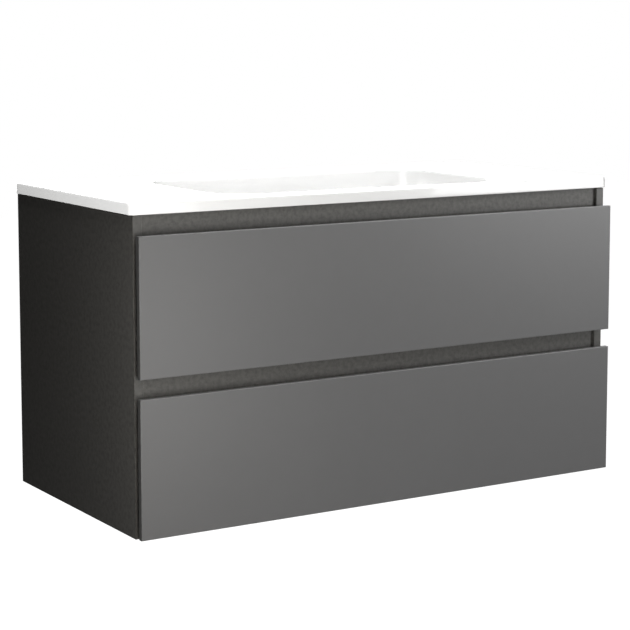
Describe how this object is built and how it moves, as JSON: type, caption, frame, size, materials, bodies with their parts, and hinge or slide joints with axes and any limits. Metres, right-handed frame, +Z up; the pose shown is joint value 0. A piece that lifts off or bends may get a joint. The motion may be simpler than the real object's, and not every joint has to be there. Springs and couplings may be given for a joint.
{
  "type": "bathroom vanity cabinet",
  "caption": "Wall-hung vanity cabinet with handleless full-width drawers on full-extension runners and a slim one-piece washbasin top with a rectangular bowl.",
  "frame": {"origin": "centre of the underside of the whole part", "axes": "+X to the right along the front, +Y from the drawer fronts to the wall, +Z up"},
  "size_m": [0.91, 0.45, 0.508],
  "materials": {
    "carcass": "matt melamine-faced board",
    "fronts": "satin lacquer on fibreboard",
    "edge_band": "matt edge band",
    "box_board": "matt foil-wrapped board",
    "ceramic": "gloss glaze",
    "sealant": "cured silicone",
    "seal_rubber": "black rubber",
    "waste_chrome": "polished",
    "runner_steel": "zinc plated strip",
    "bearing_steel": "bright balls and cages",
    "fastener_zinc": "zinc plated",
    "dowel_wood": "raw beech",
    "cover_plastic": "matt moulding",
    "surround_plastic": "matt moulding",
    "bumper_silicone": "translucent silicone"
  },
  "bodies": {
    "cabinet": {"left_side_panel": "carcass", "right_side_panel": "carcass", "bottom_panel": "carcass", "carcass_edge_bands": "edge_band", "upper_grip_rail": "carcass", "middle_grip_rail": "carcass", "hanging_rail": "carcass", "lower_rear_rail": "carcass", "cam_locks": "fastener_zinc", "cam_bolts": "fastener_zinc", "carcass_dowels": "dowel_wood", "left_wall_hanger": "runner_steel", "right_wall_hanger": "runner_steel", "left_wall_plate": "runner_steel", "right_wall_plate": "runner_steel", "hanger_screws": "fastener_zinc", "hanger_covers": "cover_plastic", "washbasin_top": "ceramic", "sealant_bead": "sealant", "waste_body": "waste_chrome", "waste_seal": "seal_rubber", "waste_backnut": "waste_chrome", "upper_left_cabinet_runner": "runner_steel", "upper_right_cabinet_runner": "runner_steel", "lower_left_cabinet_runner": "runner_steel", "lower_right_cabinet_runner": "runner_steel", "cabinet_runner_screws": "fastener_zinc"},
    "waste_plug": {"waste_plug": "waste_chrome"},
    "upper_middle_members": {"upper_left_middle_runner": "runner_steel", "upper_right_middle_runner": "runner_steel"},
    "lower_middle_members": {"lower_left_middle_runner": "runner_steel", "lower_right_middle_runner": "runner_steel"},
    "upper_outer_cages": {"upper_outer_ball_cages": "bearing_steel"},
    "upper_inner_cages": {"upper_inner_ball_cages": "bearing_steel"},
    "lower_outer_cages": {"lower_outer_ball_cages": "bearing_steel"},
    "lower_inner_cages": {"lower_inner_ball_cages": "bearing_steel"},
    "upper_drawer": {"upper_drawer_front": "fronts", "upper_box_front": "box_board", "upper_box_left_side": "box_board", "upper_box_right_side": "box_board", "upper_box_back": "box_board", "upper_box_floor": "box_board", "siphon_surround": "surround_plastic", "upper_left_drawer_runner": "runner_steel", "upper_right_drawer_runner": "runner_steel", "upper_runner_screws": "fastener_zinc", "upper_front_screws": "fastener_zinc", "upper_front_bumpers": "bumper_silicone"},
    "lower_drawer": {"lower_drawer_front": "fronts", "lower_box_front": "box_board", "lower_box_left_side": "box_board", "lower_box_right_side": "box_board", "lower_box_back": "box_board", "lower_box_floor": "box_board", "lower_left_drawer_runner": "runner_steel", "lower_right_drawer_runner": "runner_steel", "lower_runner_screws": "fastener_zinc", "lower_front_screws": "fastener_zinc", "lower_front_bumpers": "bumper_silicone"}
  },
  "joints": [
    {"name": "upper_drawer_slide", "type": "slide", "parent": "cabinet", "child": "upper_drawer", "axis": [0, -1, 0], "range_m": [0, 0.35]},
    {"name": "upper_middle_member_slide", "type": "slide", "parent": "cabinet", "child": "upper_middle_members", "axis": [0, -1, 0], "range_m": [0, 0.175]},
    {"name": "upper_outer_cages_slide", "type": "slide", "parent": "cabinet", "child": "upper_outer_cages", "axis": [0, -1, 0], "range_m": [0, 0.0875]},
    {"name": "upper_inner_cages_slide", "type": "slide", "parent": "cabinet", "child": "upper_inner_cages", "axis": [0, -1, 0], "range_m": [0, 0.2625]},
    {"name": "lower_drawer_slide", "type": "slide", "parent": "cabinet", "child": "lower_drawer", "axis": [0, -1, 0], "range_m": [0, 0.35]},
    {"name": "lower_middle_member_slide", "type": "slide", "parent": "cabinet", "child": "lower_middle_members", "axis": [0, -1, 0], "range_m": [0, 0.175]},
    {"name": "lower_outer_cages_slide", "type": "slide", "parent": "cabinet", "child": "lower_outer_cages", "axis": [0, -1, 0], "range_m": [0, 0.0875]},
    {"name": "lower_inner_cages_slide", "type": "slide", "parent": "cabinet", "child": "lower_inner_cages", "axis": [0, -1, 0], "range_m": [0, 0.2625]},
    {"name": "waste_plug_lift", "type": "slide", "parent": "cabinet", "child": "waste_plug", "axis": [0, 0, 1], "range_m": [0, 0.008]}
  ],
  "couplings": [
    {"joint": "upper_middle_member_slide", "follows": "upper_drawer_slide", "ratio": 0.5},
    {"joint": "upper_outer_cages_slide", "follows": "upper_drawer_slide", "ratio": 0.25},
    {"joint": "upper_inner_cages_slide", "follows": "upper_drawer_slide", "ratio": 0.75},
    {"joint": "lower_middle_member_slide", "follows": "lower_drawer_slide", "ratio": 0.5},
    {"joint": "lower_outer_cages_slide", "follows": "lower_drawer_slide", "ratio": 0.25},
    {"joint": "lower_inner_cages_slide", "follows": "lower_drawer_slide", "ratio": 0.75}
  ]
}
